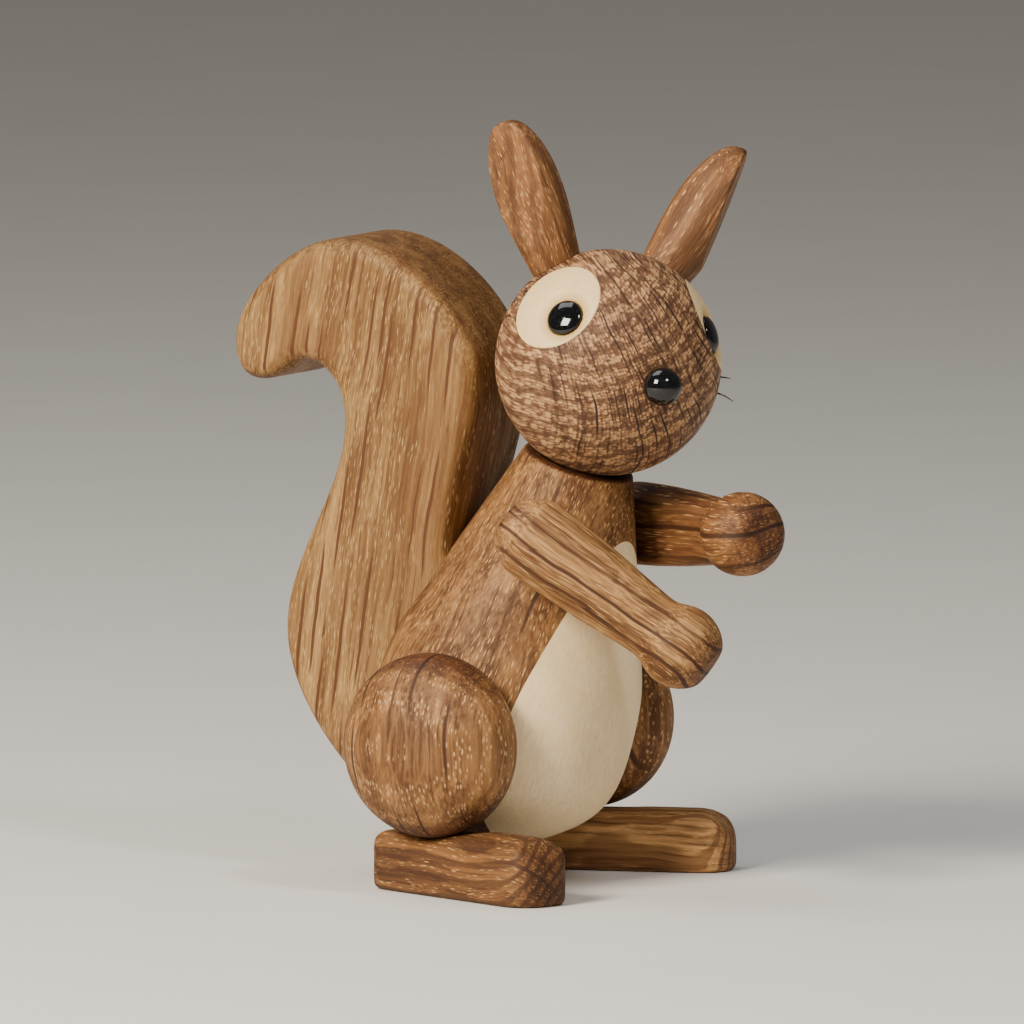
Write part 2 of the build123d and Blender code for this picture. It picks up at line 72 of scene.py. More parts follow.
# Sanding of sharp edges: size of the even mesh and number of passes
ARM_VOXEL = 0.24
ARM_SANDING = 70
FOOT_VOXEL = 0.24
FOOT_SANDING = 110
DISC_VOXEL = 0.16
DISC_SANDING = 2
SANDING_STRENGTH = 0.5
MERGE_GAP = 0.0005

# Eye discs, their beads and the dish round a bead
DISC_AZIMUTH = 71.7
DISC_ELEVATION = 34.2
DISC_HALF_ANGLE = 25.28
BEAD_AZIMUTH = 59.5
BEAD_ELEVATION = 29.7
DISH_REACH = 5.2
DISH_RIM = 2.7
DISH_DEPTH = 0.8
DISH_SKIN = 2.5
BEAD_RADIUS = 2.95
BEAD_RISE = 0.15
BEAD_SINK = 0.95
BEAD_STEPS = 24
BEAD_SIDES = 64

# Bristles: degrees ahead of the disc's middle, below its rim and of droop, then length and sag
BRISTLES = ((5.3, 3.7, -2.0, 2.1, 0.1), (7.7, 11.7, -8.0, 3.1, 1.0))
BRISTLE_DEPTH = 0.5
BRISTLE_RADIUS = 0.18
BRISTLE_TAPER = 0.7
BRISTLE_STEPS = 8
BRISTLE_SIDES = 10

# Flecks in wood: share of the half size where a fleck has its full depth, and the tone of the faintest one
FLECK_CORE = 0.45
FLECK_FAINTEST = 0.3

# Noise in oak: cells per millimetre round the rings, out from the pith and along the fibre, detail, roughness
OAK_NOISE = {
    "ragged": ((0.9, 0.9, 0.12), 2.0, 0.5),
    "fine": ((2.0, 2.0, 0.035), 4.0, 0.6),
    "broad": ((0.30, 0.30, 0.025), 2.0, 0.5),
}
OAK_DRIFT_SCALE = 0.05
OAK_DRIFT_DETAIL = 2.0
BROAD_WEIGHT = 0.8
HALF_YEAR = 0.5

# Ranges in oak: season of the early wood, streaks of the fibre, then how far a face looks along ray or fibre
EARLY_WOOD = {"From Min": 0.14, "From Max": 0.26}
OAK_STREAKS = {"From Min": 0.72, "From Max": 1.10}
RAYS_LOST = {"From Min": 0.92, "From Max": 0.65}
RAYS_AT_ENDS = {"From Min": 0.4, "From Max": 0.7, "To Min": 1.0}
END_GRAIN = {"From Min": 0.45, "From Max": 0.95}
END_GRAIN_TINT = "#9A7E66"
OAK_ROUGHNESS = {"To Min": 0.68, "To Max": 0.56}
OAK_IOR = 1.38
OAK_RELIEF = 0.12
OAK_RELIEF_STRENGTH = 0.5
RAY_GROOVE = -1.0
PORE_GROOVE = -0.5

# Looks of the oak: flecks have a pitch and half size, round the rings, outward and along, and a randomness
OILED = {
    "deep": "#563417", "body": "#9C6E3E", "late": "#53321A", "pore": "#CFA66C", "ray": "#41240F",
    "pith": 60.0, "drift": (3.0, 3.0, 2.0), "ring_gap": 5.0, "ragged": 1.3, "late_depth": 0.32,
    "end_depth": 0.95, "end_rays": 1.0,
    "pores": ((0.40, 0.62, 1.9), (0.09, 0.30, 0.85), 0.9), "pores_early": 1.1, "pores_late": 0.55,
    "rays": ((3.4, 22.0, 17.0), (0.40, 13.0, 9.5), 0.85), "ray_depth": 1.2,
    "hairs": ((1.1, 9.0, 11.0), (0.13, 4.8, 5.6), 0.9), "hair_depth": 0.8,
}
GOLDEN = {
    **OILED, "deep": "#66431F", "body": "#A07A47", "late": "#744C25", "pore": "#D3B074", "ray": "#543014",
    "pith": 75.0, "ring_gap": 3.5, "ragged": 0.7, "late_depth": 0.35, "end_depth": 0.6, "end_rays": 0.15,
    "pores_early": 0.7, "pores_late": 0.15,
    "rays": ((3.8, 40.0, 24.0), (0.32, 60.0, 13.0), 0.9), "ray_depth": 2.2,
}
RUSSET = {
    **OILED, "deep": "#5A3719", "body": "#8F6138", "late": "#4E2E16", "pore": "#C49A68",
    "pith": 40.0, "ring_gap": 3.0, "ragged": 0.8, "late_depth": 0.55, "end_depth": 0.5,
    "pores_late": 0.2, "ray_depth": 0.55,
}
SMOKED = {
    **OILED, "deep": "#553522", "body": "#734B31", "late": "#472B1B", "pore": "#BD9264", "ray": "#2C180F",
    "drift": (5.0, 5.0, 2.0), "ring_gap": 2.5, "late_depth": 0.6, "end_depth": 0.15,
    "pores": ((0.56, 0.50, 3.0), (0.42, 0.36, 2.2), 0.55), "pores_early": 1.3, "pores_late": 0.3,
    "rays": ((1.9, 14.0, 12.0), (0.34, 9.0, 6.0), 0.9), "ray_depth": 1.0,
    "hairs": ((1.0, 9.0, 9.0), (0.22, 5.4, 5.4), 0.8), "hair_depth": 1.2,
}
# One oak for both arms in a lit and a shaded copy: the near arm's lighter tones are painted light, the far
# arm's darker tones painted shade
NEAR_ARM_LIT_OAK = {
    **OILED, "deep": "#5E3A1B", "body": "#B2834F", "pith": 30.0, "ring_gap": 4.2, "end_depth": 0.7,
    "pores": ((0.42, 0.62, 4.2), (0.09, 0.30, 2.0), 0.9),
    "rays": ((3.6, 200.0, 120.0), (0.42, 800.0, 600.0), 0.6), "ray_depth": 1.5,
}
FAR_ARM_SHADED_OAK = {**NEAR_ARM_LIT_OAK, "deep": "#502D14", "body": "#966538"}
ARM_OAK_LIT_AND_SHADED = {"right": NEAR_ARM_LIT_OAK, "left": FAR_ARM_SHADED_OAK}
THIGH_OAK = {
    **OILED, "pore": "#C29A6C", "pith": 40.0, "ring_gap": 2.2, "ragged": 0.45,
    "pores": ((0.50, 0.62, 1.4), (0.16, 0.36, 0.55), 0.9), "pores_late": 0.1,
    "rays": ((4.6, 40.0, 17.0), (0.34, 60.0, 9.5), 0.85), "ray_depth": 1.4,
}
# One oak for both feet in a shaded and a lit copy: the near foot's darker tones are painted shade, the far
# foot's lighter tones painted light
NEAR_FOOT_SHADED_OAK = {
    **OILED, "deep": "#4A2C14", "body": "#85592F", "late": "#43260F",
    "pith": 18.0, "ring_gap": 1.5, "ragged": 0.45, "late_depth": 0.7, "end_depth": 0.6,
    "pores_early": 0.8, "pores_late": 0.1,
}
FAR_FOOT_LIT_OAK = {**NEAR_FOOT_SHADED_OAK, "deep": "#7A5028", "body": "#C8965C", "late": "#69401D"}
FOOT_OAK_LIT_AND_SHADED = {"right": NEAR_FOOT_SHADED_OAK, "left": FAR_FOOT_LIT_OAK}

# Maple: fibre cells per millimetre, clouds, pin flecks, and painted shade, a brown tint round an eye's bead
# where its dish is shaded
BELLY_TONES = ("#E8C592", "#FCE5B8")
DISC_TONES = ("#DDB476", "#F3D69E")
DOWEL_TONES = ("#E2B98A", "#F0D2A6")
MAPLE_FIBRE = (2.4, 2.4, 0.5)
MAPLE_FIBRE_DETAIL = 5.0
MAPLE_FIBRE_ROUGHNESS = 0.7
MAPLE_STREAKS = {"From Min": 0.3, "From Max": 0.7}
MAPLE_CLOUD_SCALE = 0.12
MAPLE_CLOUD_DETAIL = 3.0
MAPLE_CLOUDS = {"From Min": 0.4, "From Max": 0.7, "To Max": 0.5}
MAPLE_CLOUD_TINT = "#E8CC98"
MAPLE_FLECKS = ((0.9, 0.9, 1.6), (0.13, 0.13, 0.5), 1.0)
MAPLE_FLECK_DEPTH = 0.35
MAPLE_FLECK_TINT = "#B0925F"
# Painted shade round an eye bead: where it fades in, how far its edge wanders, and its brown tint
DISH_SHADE_REACH = {"From Min": 6.0, "From Max": 3.6}
DISH_SHADE_WANDER = 1.6
DISH_SHADE_TINT = "#C9A45E"
MAPLE_ROUGHNESS = 0.55
MAPLE_RELIEF = 0.08
MAPLE_RELIEF_STRENGTH = 0.2

# Black glass: specks of dust per millimetre, and how they tint and dull it
DUST_SCALE = 2.2
DUST_DETAIL = 3.0
DUST_TINTING = {"From Min": 0.45, "From Max": 0.8}
DUST_TONES = ("#060607", "#17171A")
DUST_DULLING = {"From Min": 0.4, "From Max": 0.8, "To Min": 0.04, "To Max": 0.16}
GLASS_IOR = 1.52

# Floor, with specks per metre, and the room's own light
FLOOR_SIZE = 6000.0
FLOOR_SPECKS = 40.0
FLOOR_TONES = ("#DAD7D0", "#E0DDD6")
FLOOR_ROUGHNESS = 0.7
ROOM_TINT = "#F0EEEA"
ROOM_LIGHT = 0.17

# Soft boxes: place towards the camera, to its right and up, then size, watts and tint
SOFT_BOXES = {
    "key soft box": (580, -520, 430, 320.0, 15.5, "#FFF4E4"),
    "window strip": (420, 300, 420, 110.0, 1.7, "#F4F7FF"),
    "top soft box": (-150, -250, 700, 420.0, 2.0, "#FFFFFF"),
}

# View of the photograph: a long lens a little above the figure's right front
VIEW_AZIMUTH = -59.0
VIEW_ELEVATION = 6.4
VIEW_DISTANCE = 6000.0
VIEW_WIDTH = 161.3
VIEW_CENTRE = 57.86
VIEW_FAR = 20000.0
SENSOR = 36.0

# Lines of body and head at rest
lean = radians(BODY_LEAN)
nod = radians(HEAD_LEAN)
turn = radians(HEAD_TURN)
body_axis = Vector((0, -sin(lean), cos(lean)))
head_up = Vector((0, -sin(nod), cos(nod)))
chest = Vector((0, -cos(nod), -sin(nod)))
head_front = chest * cos(turn) + LEFT * sin(turn)
head_left = LEFT * cos(turn) - chest * sin(turn)


def on_head(azimuth, elevation):
    """Direction turned from the head's front to its left and then raised"""
    level = head_left * sin(radians(azimuth)) + head_front * cos(radians(azimuth))
    return level * cos(radians(elevation)) + head_up * sin(radians(elevation))


def log_turn(fibre, heart):
    """Axes of a log: X round the rings, Y out from the pith, Z along the fibre"""
    along = fibre.normalized()
    out = -(heart - along * heart.dot(along)).normalized()
    return Matrix((out.cross(along), out, along)).transposed().to_euler()


def middle(node):
    """Middle of a CAD node's box, in millimetres"""
    low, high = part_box(node)
    return (Vector(low) + Vector(high)) / 2 / MM


def colour(code):
    """Linear colour of an sRGB hex value"""
    parts = [int(code[i:i + 2], 16) / 255 for i in (1, 3, 5)]
    return [p / 12.92 if p <= 0.04045 else ((p + 0.055) / 1.055) ** 2.4 for p in parts] + [1.0]


def add(tree, kind, inputs=None, **settings):
    """Adds one node: settings are its own properties, inputs are values or other nodes' outputs"""
    node = tree.nodes.new(kind)
    for name, value in settings.items():
        setattr(node, name, value)
    for name, value in (inputs or {}).items():
        if isinstance(value, bpy.types.NodeSocket):
            tree.links.new(value, node.inputs[name])
        else:
            node.inputs[name].default_value = value
    return node


def new_finish(name):
    """Empty material and its shader"""
    material = bpy.data.materials.new(name)
    material.use_nodes = True
    return material, material.node_tree, material.node_tree.nodes["Principled BSDF"]


def flecks(tree, space, pitch, half, randomness):
    """Scattered lens-shaped flecks, each with a random tone of its own: how deep a point is in one"""
    cell = add(tree, "ShaderNodeVectorMath", {0: space, 1: pitch}, operation="DIVIDE").outputs[0]
    near = add(
        tree, "ShaderNodeTexVoronoi", {"Vector": cell, "Scale": 1.0, "Randomness": randomness}
    ).outputs
    offset = add(
        tree, "ShaderNodeVectorMath", {0: cell, 1: near["Position"]}, operation="SUBTRACT"
    ).outputs[0]
    stretch = [p / h for p, h in zip(pitch, half)]
    scaled = add(tree, "ShaderNodeVectorMath", {0: offset, 1: stretch}, operation="MULTIPLY").outputs[0]
    reach = add(tree, "ShaderNodeVectorMath", {0: scaled}, operation="LENGTH").outputs["Value"]
    inside = add(
        tree, "ShaderNodeMapRange", {"Value": reach, "From Min": 1.0, "From Max": FLECK_CORE},
        interpolation_type="SMOOTHSTEP",
    ).outputs[0]
    tone = add(tree, "ShaderNodeSeparateColor", {0: near["Color"]}).outputs[0]
    tone = add(tree, "ShaderNodeMapRange", {"Value": tone, "To Min": FLECK_FAINTEST}).outputs[0]
    return add(tree, "ShaderNodeMath", {0: inside, 1: tone}, operation="MULTIPLY").outputs[0]


def oak(name, centre, fibre, heart, look):
    """Oiled oak, sawn and sanded: golden brown fibres with long dark rays and pale pore dashes. Where the
    end grain shows it is darker, the dashes turn to dots and the rays to lines out from the pith"""
    material, tree, shader = new_finish(name)
    pith = centre + heart.normalized() * look["pith"]
    turned = log_turn(fibre, heart)
    place = add(tree, "ShaderNodeTexCoord").outputs
    log = add(
        tree, "ShaderNodeMapping",
        {"Vector": place["Object"], "Location": pith * MM, "Rotation": turned, "Scale": (MM, MM, MM)},
        vector_type="TEXTURE",
    ).outputs[0]
    drift = add(
        tree, "ShaderNodeTexNoise", {"Vector": log, "Scale": OAK_DRIFT_SCALE, "Detail": OAK_DRIFT_DETAIL}
    ).outputs["Color"]
    drift = add(
        tree, "ShaderNodeVectorMath", {0: drift, 1: (0.5, 0.5, 0.5)}, operation="SUBTRACT"
    ).outputs[0]
    log = add(
        tree, "ShaderNodeVectorMath", {0: drift, 1: look["drift"], 2: log}, operation="MULTIPLY_ADD"
    ).outputs[0]

    # Grain space: millimetres round the rings, out from the pith and along the fibre
    parts = add(tree, "ShaderNodeSeparateXYZ", {0: log}).outputs
    angle = add(tree, "ShaderNodeMath", {0: parts[0], 1: parts[1]}, operation="ARCTAN2").outputs[0]
    round_rings = add(tree, "ShaderNodeMath", {0: angle, 1: look["pith"]}, operation="MULTIPLY").outputs[0]
    flat = add(tree, "ShaderNodeVectorMath", {0: log, 1: (1, 1, 0)}, operation="MULTIPLY").outputs[0]
    from_pith = add(tree, "ShaderNodeVectorMath", {0: flat}, operation="LENGTH").outputs["Value"]
    grain = add(tree, "ShaderNodeCombineXYZ", {0: round_rings, 1: from_pith, 2: parts[2]}).outputs[0]
    noise = {}
    for kind, (stretch, detail, roughness) in OAK_NOISE.items():
        cells = add(tree, "ShaderNodeVectorMath", {0: grain, 1: stretch}, operation="MULTIPLY").outputs[0]
        noise[kind] = add(
            tree, "ShaderNodeTexNoise",
            {"Vector": cells, "Scale": 1.0, "Detail": detail, "Roughness": roughness},
        ).outputs[0]

    # Rings: early wood full of pores, then dark late wood, with ragged borders
    year = add(tree, "ShaderNodeMath", {0: from_pith, 1: look["ring_gap"]}, operation="DIVIDE").outputs[0]
    year = add(
        tree, "ShaderNodeMath", {0: noise["ragged"], 1: look["ragged"], 2: year}, operation="MULTIPLY_ADD"
    ).outputs[0]
    season = add(tree, "ShaderNodeMath", {0: year, 1: HALF_YEAR}, operation="PINGPONG").outputs[0]
    early = add(
        tree, "ShaderNodeMapRange", {"Value": season, **EARLY_WOOD}, interpolation_type="SMOOTHSTEP"
    ).outputs[0]
    late = add(
        tree, "ShaderNodeMath", {0: early, 1: -look["late_depth"], 2: look["late_depth"]},
        operation="MULTIPLY_ADD",
    ).outputs[0]

    # Fibres: fine lines within broad bands, darkened by the late wood
    streak = add(
        tree, "ShaderNodeMath", {0: noise["broad"], 1: BROAD_WEIGHT, 2: noise["fine"]},
        operation="MULTIPLY_ADD",
    ).outputs[0]
    streak = add(tree, "ShaderNodeMapRange", {"Value": streak, **OAK_STREAKS}).outputs[0]
    wood = add(
        tree, "ShaderNodeMix", {0: streak, 6: colour(look["deep"]), 7: colour(look["body"])}, data_type="RGBA"
    ).outputs[2]
    wood = add(
        tree, "ShaderNodeMix", {0: late, 6: wood, 7: colour(look["late"])}, data_type="RGBA"
    ).outputs[2]

    # Pores: pale dashes, most of them in the early wood
    gather = add(
        tree, "ShaderNodeMapRange",
        {"Value": early, "To Min": look["pores_late"], "To Max": look["pores_early"]},
    ).outputs[0]
    dashes = add(
        tree, "ShaderNodeMath", {0: flecks(tree, grain, *look["pores"]), 1: gather},
        operation="MULTIPLY", use_clamp=True,
    ).outputs[0]
    wood = add(
        tree, "ShaderNodeMix", {0: dashes, 6: wood, 7: colour(look["pore"])}, data_type="RGBA"
    ).outputs[2]

    # Rays: a few long dark spindles and many hairlines, lost where the surface runs along them
    spindles = []
    for shape, depth in ((look["rays"], look["ray_depth"]), (look["hairs"], look["hair_depth"])):
        spindles.append(add(
            tree, "ShaderNodeMath", {0: flecks(tree, grain, *shape), 1: depth},
            operation="MULTIPLY", use_clamp=True,
        ).outputs[0])
    dark = add(tree, "ShaderNodeMath", {0: spindles[0], 1: spindles[1]}, operation="MAXIMUM").outputs[0]
    facing = []
    for line in (turned.to_matrix().col[0], fibre.normalized()):
        way = add(tree, "ShaderNodeVectorMath", {0: place["Normal"], 1: line}, operation="DOT_PRODUCT")
        facing.append(
            add(tree, "ShaderNodeMath", {0: way.outputs["Value"]}, operation="ABSOLUTE").outputs[0]
        )
    faces_round, faces_end = facing
    off_ray = add(
        tree, "ShaderNodeMapRange", {"Value": faces_round, **RAYS_LOST}, interpolation_type="SMOOTHSTEP"
    ).outputs[0]
    off_end = add(
        tree, "ShaderNodeMapRange", {"Value": faces_end, **RAYS_AT_ENDS, "To Max": look["end_rays"]}
    ).outputs[0]
    for shown in (off_ray, off_end):
        dark = add(tree, "ShaderNodeMath", {0: dark, 1: shown}, operation="MULTIPLY").outputs[0]
    wood = add(
        tree, "ShaderNodeMix", {0: dark, 6: wood, 7: colour(look["ray"])}, data_type="RGBA"
    ).outputs[2]

    # End grain drinks more oil
    ends = add(
        tree, "ShaderNodeMapRange", {"Value": faces_end, **END_GRAIN, "To Max": look["end_depth"]},
        interpolation_type="SMOOTHSTEP",
    ).outputs[0]
    wood = add(
        tree, "ShaderNodeMix", {0: ends, 6: wood, 7: colour(END_GRAIN_TINT)},
        data_type="RGBA", blend_type="MULTIPLY",
    ).outputs[2]
    tree.links.new(wood, shader.inputs["Base Color"])

    # Fibres stand up between the rays and pores and shine a little more
    gloss = add(tree, "ShaderNodeMapRange", {"Value": streak, **OAK_ROUGHNESS}).outputs[0]
    tree.links.new(gloss, shader.inputs["Roughness"])
    height = noise["fine"]
    for groove, depth in ((dark, RAY_GROOVE), (dashes, PORE_GROOVE)):
        height = add(
            tree, "ShaderNodeMath", {0: groove, 1: depth, 2: height}, operation="MULTIPLY_ADD"
        ).outputs[0]
    relief = add(
        tree, "ShaderNodeBump",
        {"Height": height, "Strength": OAK_RELIEF_STRENGTH, "Distance": OAK_RELIEF * MM},
    ).outputs[0]
    tree.links.new(relief, shader.inputs["Normal"])
    shader.inputs["IOR"].default_value = OAK_IOR
    return material


def maple(name, fibre, tones, eye=None):
    """Sanded maple or beech: cream, almost even, with faint fibres and pin flecks. An eye disc has painted
    shade, a brown tint round its bead where its dish is shaded; the bead's seat is given in metres and its
    axis is the fibre"""
    material, tree, shader = new_finish(name)
    place = add(tree, "ShaderNodeTexCoord").outputs["Object"]
    log = add(
        tree, "ShaderNodeMapping",
        {"Vector": place, "Rotation": log_turn(fibre, LEFT), "Scale": (MM, MM, MM)}, vector_type="TEXTURE",
    ).outputs[0]

    # Fibres, with warmer clouds over them
    cells = add(tree, "ShaderNodeVectorMath", {0: log, 1: MAPLE_FIBRE}, operation="MULTIPLY").outputs[0]
    fine = add(
        tree, "ShaderNodeTexNoise",
        {"Vector": cells, "Scale": 1.0, "Detail": MAPLE_FIBRE_DETAIL, "Roughness": MAPLE_FIBRE_ROUGHNESS},
    ).outputs[0]
    streak = add(tree, "ShaderNodeMapRange", {"Value": fine, **MAPLE_STREAKS}).outputs[0]
    wood = add(
        tree, "ShaderNodeMix", {0: streak, 6: colour(tones[0]), 7: colour(tones[1])}, data_type="RGBA"
    ).outputs[2]
    cloud = add(
        tree, "ShaderNodeTexNoise",
        {"Vector": log, "Scale": MAPLE_CLOUD_SCALE, "Detail": MAPLE_CLOUD_DETAIL},
    ).outputs[0]
    warm = add(tree, "ShaderNodeMapRange", {"Value": cloud, **MAPLE_CLOUDS}).outputs[0]
    wood = add(
        tree, "ShaderNodeMix", {0: warm, 6: wood, 7: colour(MAPLE_CLOUD_TINT)}, data_type="RGBA"
    ).outputs[2]

    # Pin flecks
    specks = add(
        tree, "ShaderNodeMath", {0: flecks(tree, log, *MAPLE_FLECKS), 1: MAPLE_FLECK_DEPTH},
        operation="MULTIPLY",
    ).outputs[0]
    wood = add(
        tree, "ShaderNodeMix", {0: specks, 6: wood, 7: colour(MAPLE_FLECK_TINT)}, data_type="RGBA"
    ).outputs[2]

    # Painted shade in the dish round the bead, a brown tint with a wandering edge
    if eye:
        turned = add(
            tree, "ShaderNodeMapping",
            {"Vector": place, "Location": eye, "Rotation": log_turn(fibre, UP), "Scale": (MM, MM, MM)},
            vector_type="TEXTURE",
        ).outputs[0]
        flat = add(tree, "ShaderNodeVectorMath", {0: turned, 1: (1, 1, 0)}, operation="MULTIPLY").outputs[0]
        reach = add(tree, "ShaderNodeVectorMath", {0: flat}, operation="LENGTH").outputs["Value"]
        reach = add(
            tree, "ShaderNodeMath", {0: cloud, 1: DISH_SHADE_WANDER, 2: reach}, operation="MULTIPLY_ADD"
        ).outputs[0]
        painted_dish_shade = add(
            tree, "ShaderNodeMapRange", {"Value": reach, **DISH_SHADE_REACH}, interpolation_type="SMOOTHSTEP"
        ).outputs[0]
        wood = add(
            tree, "ShaderNodeMix", {0: painted_dish_shade, 6: wood, 7: colour(DISH_SHADE_TINT)}, data_type="RGBA"
        ).outputs[2]
    tree.links.new(wood, shader.inputs["Base Color"])
    relief = add(
        tree, "ShaderNodeBump",
        {"Height": fine, "Strength": MAPLE_RELIEF_STRENGTH, "Distance": MAPLE_RELIEF * MM},
    ).outputs[0]
    tree.links.new(relief, shader.inputs["Normal"])
    shader.inputs["Roughness"].default_value = MAPLE_ROUGHNESS
    return material


def black_gloss(name):
    """Black glass, fire polished, or black bristle: near black and bright, with dust specks that dull it"""
    material, tree, shader = new_finish(name)
    place = add(tree, "ShaderNodeTexCoord").outputs["Object"]
    dust = add(
        tree, "ShaderNodeTexNoise", {"Vector": place, "Scale": DUST_SCALE / MM, "Detail": DUST_DETAIL}
    ).outputs[0]
    grey = add(tree, "ShaderNodeMapRange", {"Value": dust, **DUST_TINTING}).outputs[0]
    tint = add(
        tree, "ShaderNodeMix", {0: grey, 6: colour(DUST_TONES[0]), 7: colour(DUST_TONES[1])}, data_type="RGBA"
    ).outputs[2]
    tree.links.new(tint, shader.inputs["Base Color"])
    dull = add(tree, "ShaderNodeMapRange", {"Value": dust, **DUST_DULLING}).outputs[0]
    tree.links.new(dull, shader.inputs["Roughness"])
    shader.inputs["IOR"].default_value = GLASS_IOR
    return material


def floor_paint(name):
    """Matt pale paint, faintly specked"""
    material, tree, shader = new_finish(name)
    place = add(tree, "ShaderNodeTexCoord").outputs["Object"]
    speck = add(tree, "ShaderNodeTexNoise", {"Vector": place, "Scale": FLOOR_SPECKS}).outputs[0]
    tone = add(
        tree, "ShaderNodeMix", {0: speck, 6: colour(FLOOR_TONES[0]), 7: colour(FLOOR_TONES[1])},
        data_type="RGBA",
    ).outputs[2]
    tree.links.new(tone, shader.inputs["Base Color"])
    shader.inputs["Roughness"].default_value = FLOOR_ROUGHNESS
    return material


def new_object(name, data):
    """New object in the scene"""
    thing = bpy.data.objects.new(name, data)
    bpy.context.scene.collection.objects.link(thing)
    return thing


def make_plain(piece):
    """Turns what a piece's modifiers make into its own smooth mesh"""
    mesh = bpy.data.meshes.new_from_object(piece.evaluated_get(bpy.context.evaluated_depsgraph_get()))
    piece.modifiers.clear()
    old = piece.data
    piece.data = mesh
    bpy.data.meshes.remove(old)
    mesh.name = piece.name
    mesh.shade_smooth()


def sanded(node, name, voxel, rounds):
    """Copy of a CAD node with its triangles joined up and its edges sanded round"""
    mesh = frame["nodes"][node].data.copy()
    joined = bmesh.new()
    joined.from_mesh(mesh)
    bmesh.ops.remove_doubles(joined, verts=joined.verts, dist=MERGE_GAP * MM)
    joined.to_mesh(mesh)
    joined.free()
    piece = new_object(name, mesh)
    remesh = piece.modifiers.new("even mesh", "REMESH")
    remesh.mode = "VOXEL"
    remesh.voxel_size = voxel * MM
    smooth = piece.modifiers.new("sanding", "SMOOTH")
    smooth.factor = SANDING_STRENGTH
    smooth.iterations = rounds
    make_plain(piece)
    return piece


def dish(disc, seat, outward):
    """Presses a dish into an eye disc, with a smooth slope from its reach to the bead's rim"""
    for vertex in disc.data.vertices:
        offset = vertex.co - seat
        height = offset.dot(outward)
        reach = (offset - outward * height).length / MM
        if reach < DISH_REACH and height > -DISH_SKIN * MM:
            share = min(1, (DISH_REACH - reach) / (DISH_REACH - DISH_RIM))
            vertex.co -= outward * DISH_DEPTH * MM * share * share * (3 - 2 * share)


def domed_bead(name, seat, outward):
    """Low dome with a flat back, in rings from its tip to its rim"""
    dome = bmesh.new()
    across = outward.cross(head_up).normalized()
    beside = outward.cross(across)
    tip = dome.verts.new(seat + outward * BEAD_RISE * MM)
    inner = []
    for step in range(1, BEAD_STEPS + 1):
        slope = radians(90 * step / BEAD_STEPS)
        height = (BEAD_RISE + BEAD_SINK) * cos(slope) - BEAD_SINK
        ring = []
        for corner in range(BEAD_SIDES):
            angle = radians(360 * corner / BEAD_SIDES)
            spoke = (across * cos(angle) + beside * sin(angle)) * BEAD_RADIUS * sin(slope)
            ring.append(dome.verts.new(seat + (spoke + outward * height) * MM))
        for corner in range(BEAD_SIDES):
            after = (corner + 1) % BEAD_SIDES
            if inner:
                dome.faces.new((inner[corner], inner[after], ring[after], ring[corner]))
            else:
                dome.faces.new((tip, ring[after], ring[corner]))
        inner = ring
    dome.faces.new(inner)
    bmesh.ops.recalc_face_normals(dome, faces=dome.faces)
    mesh = bpy.data.meshes.new(name)
    dome.to_mesh(mesh)
    dome.free()
    for face in mesh.polygons:
        face.use_smooth = len(face.vertices) < BEAD_SIDES
    return new_object(name, mesh)


def bristle_lines():
    """Root, bend and tip of each bristle, in metres, and the radii of root and tip"""
    sizes = {"Root radius": BRISTLE_RADIUS * MM, "Tip radius": BRISTLE_RADIUS * (1 - BRISTLE_TAPER) * MM}
    for number, (ahead, below, droop, length, sag) in enumerate(BRISTLES):
        azimuth = DISC_AZIMUTH - ahead
        elevation = DISC_ELEVATION - DISC_HALF_ANGLE - below
        skin = HEAD_CENTRE + on_head(azimuth, elevation) * HEAD_RADIUS
        along = on_head(azimuth, elevation - droop)
        rise = along.cross(head_up).normalized().cross(along)
        root = skin - along * BRISTLE_DEPTH
        sizes[f"Root {number}"] = root * MM
        sizes[f"Bend {number}"] = (root + along * length / 2) * MM
        sizes[f"Tip {number}"] = (root + along * length - rise * sag) * MM
    return sizes


